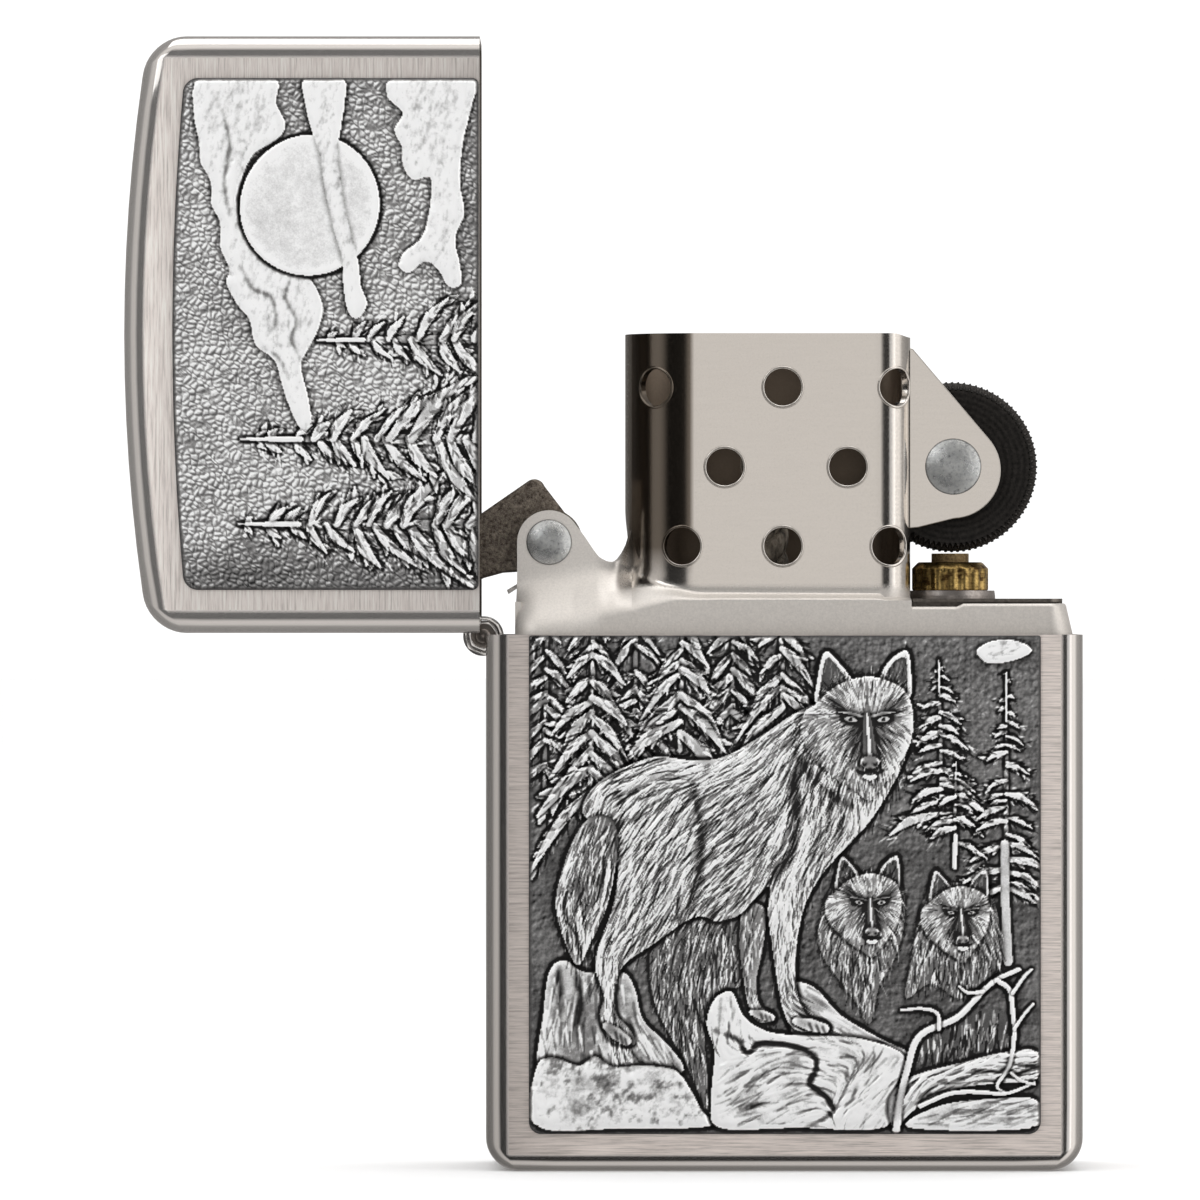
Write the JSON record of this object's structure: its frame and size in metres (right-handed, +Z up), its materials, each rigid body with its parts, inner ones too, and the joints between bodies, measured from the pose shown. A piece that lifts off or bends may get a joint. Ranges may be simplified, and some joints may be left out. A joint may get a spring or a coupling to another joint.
{
  "type": "petrol lighter",
  "caption": "Flip-top windproof petrol lighter with a hinged domed lid, relief plates, a perforated chimney, spark wheel and sprung lid cam.",
  "frame": {"origin": "centre of the case's underside, in the plane that the lighter stands on", "axes": "+Z up through the case, -Y out of the front face with the relief plates, -X towards the lid's hinge; the lid is stored open at 90 degrees"},
  "size_m": [0.0612, 0.0135, 0.0724],
  "materials": {
    "brushed_nickel": "horizontally brushed nickel plate with polished round edges",
    "pewter": "cast relief, darkened in the hollows and polished on the ridges",
    "hinge_nickel": "rolled sheet, lightly polished",
    "pin_steel": "drawn wire",
    "stainless_steel": "fine tumbled sheet",
    "plate_steel": "dull pressed sheet",
    "brass_tube": "drawn tube",
    "brass_collar": "fluted and lightly tarnished",
    "washer_steel": "dark pressed washer",
    "flint_metal": "grey ferro-cerium rod",
    "plunger_brass": "turned",
    "spring_wire": "drawn spring wire",
    "screw_brass": "turned, with a coin slot",
    "wheel_steel": "hardened and blackened, cut with fine teeth",
    "rivet_steel": "bluish zinc plate, slightly pitted",
    "cam_steel": "granular sintered steel",
    "spring_strip": "rolled spring strip",
    "wick_cotton": "braided cotton",
    "cotton": "loose cotton",
    "felt": "pressed felt"
  },
  "bodies": {
    "case": {"case_shell": "brushed_nickel", "case_emblem": "pewter", "hinge_case_leaf": "hinge_nickel", "hinge_pin": "pin_steel", "insert_shell": "stainless_steel", "top_plate": "plate_steel", "flint_tube": "brass_tube", "flint_collar": "brass_collar", "collar_washer": "washer_steel", "flint": "flint_metal", "flint_plunger": "plunger_brass", "flint_spring": "spring_wire", "wheel_rivet": "rivet_steel", "cam_rivet": "rivet_steel", "cam_spring": "spring_strip", "cam_spring_rivet": "rivet_steel", "wick": "wick_cotton", "packing_ball_1": "cotton", "packing_ball_2": "cotton", "packing_ball_3": "cotton", "packing_ball_4": "cotton", "packing_ball_5": "cotton", "packing_ball_6": "cotton", "felt_pad": "felt"},
    "lid": {"lid_shell": "brushed_nickel", "lid_emblem": "pewter", "hinge_lid_leaf": "hinge_nickel"},
    "cam": {"lid_cam": "cam_steel"},
    "wheel": {"spark_wheel": "wheel_steel"},
    "screw": {"flint_screw": "screw_brass"}
  },
  "joints": [
    {"name": "lid_hinge", "type": "hinge", "parent": "case", "child": "lid", "pos_m": [-0.01925, 0, 0.0341], "axis": [0, -1, 0], "range_deg": [-90, 10]},
    {"name": "cam_pivot", "type": "hinge", "parent": "case", "child": "cam", "pos_m": [-0.01503, 0, 0.04011], "axis": [0, -1, 0], "range_deg": [-94, 10.5]},
    {"name": "wheel_spin", "type": "hinge", "parent": "case", "child": "wheel", "pos_m": [0.01085, 0, 0.04495], "axis": [0, 1, 0], "continuous": true},
    {"name": "flint_screw_turn", "type": "hinge", "parent": "case", "child": "screw", "pos_m": [0.01075, 0, 0.001], "axis": [0, 0, 1], "continuous": true}
  ],
  "couplings": [
    {"joint": "cam_pivot", "follows": "lid_hinge", "ratio": 1.04}
  ]
}
